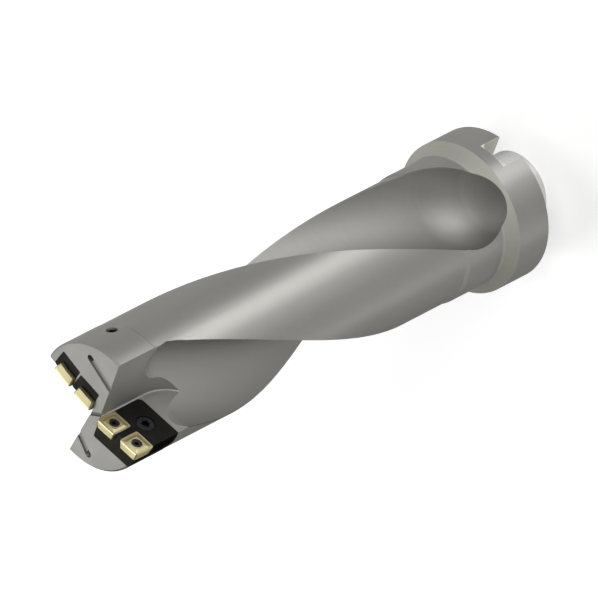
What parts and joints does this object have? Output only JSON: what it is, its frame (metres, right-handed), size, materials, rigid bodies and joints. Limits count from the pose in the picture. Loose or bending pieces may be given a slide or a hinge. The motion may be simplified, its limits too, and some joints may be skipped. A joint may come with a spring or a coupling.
{
  "type": "indexable drill",
  "caption": "Short-hole drill with two helical flutes, square cutting inserts on screwed cartridges, and a flange with spigot and drive slots.",
  "frame": {"origin": "on the tool axis, in the plane of the flange's rear seating face", "axes": "+Z along the tool axis towards the cutting head, +X along the wide cartridge's cutting edges, +Y the way its inserts face"},
  "size_m": [0.08, 0.08, 0.3111],
  "materials": {
    "satin_steel": "satin nickel-plated steel",
    "black_oxide": "black oxide on steel",
    "gold_carbide": "thin gold coating on carbide",
    "dark_screw": "dark steel"
  },
  "bodies": {
    "root": {"drill_body": "satin_steel", "cartridge_wide": "black_oxide", "cartridge_outer": "black_oxide", "cartridge_inner": "black_oxide", "insert_wide_inner": "gold_carbide", "insert_wide_outer": "gold_carbide", "insert_outer": "gold_carbide", "insert_inner": "gold_carbide", "insert_screw_wide_inner": "dark_screw", "insert_screw_wide_outer": "dark_screw", "insert_screw_outer": "dark_screw", "insert_screw_inner": "dark_screw", "cartridge_screw_wide": "dark_screw", "cartridge_screw_outer": "dark_screw", "cartridge_screw_inner": "dark_screw", "coolant_plug_a": "dark_screw", "coolant_plug_b": "dark_screw"}
  },
  "joints": []
}
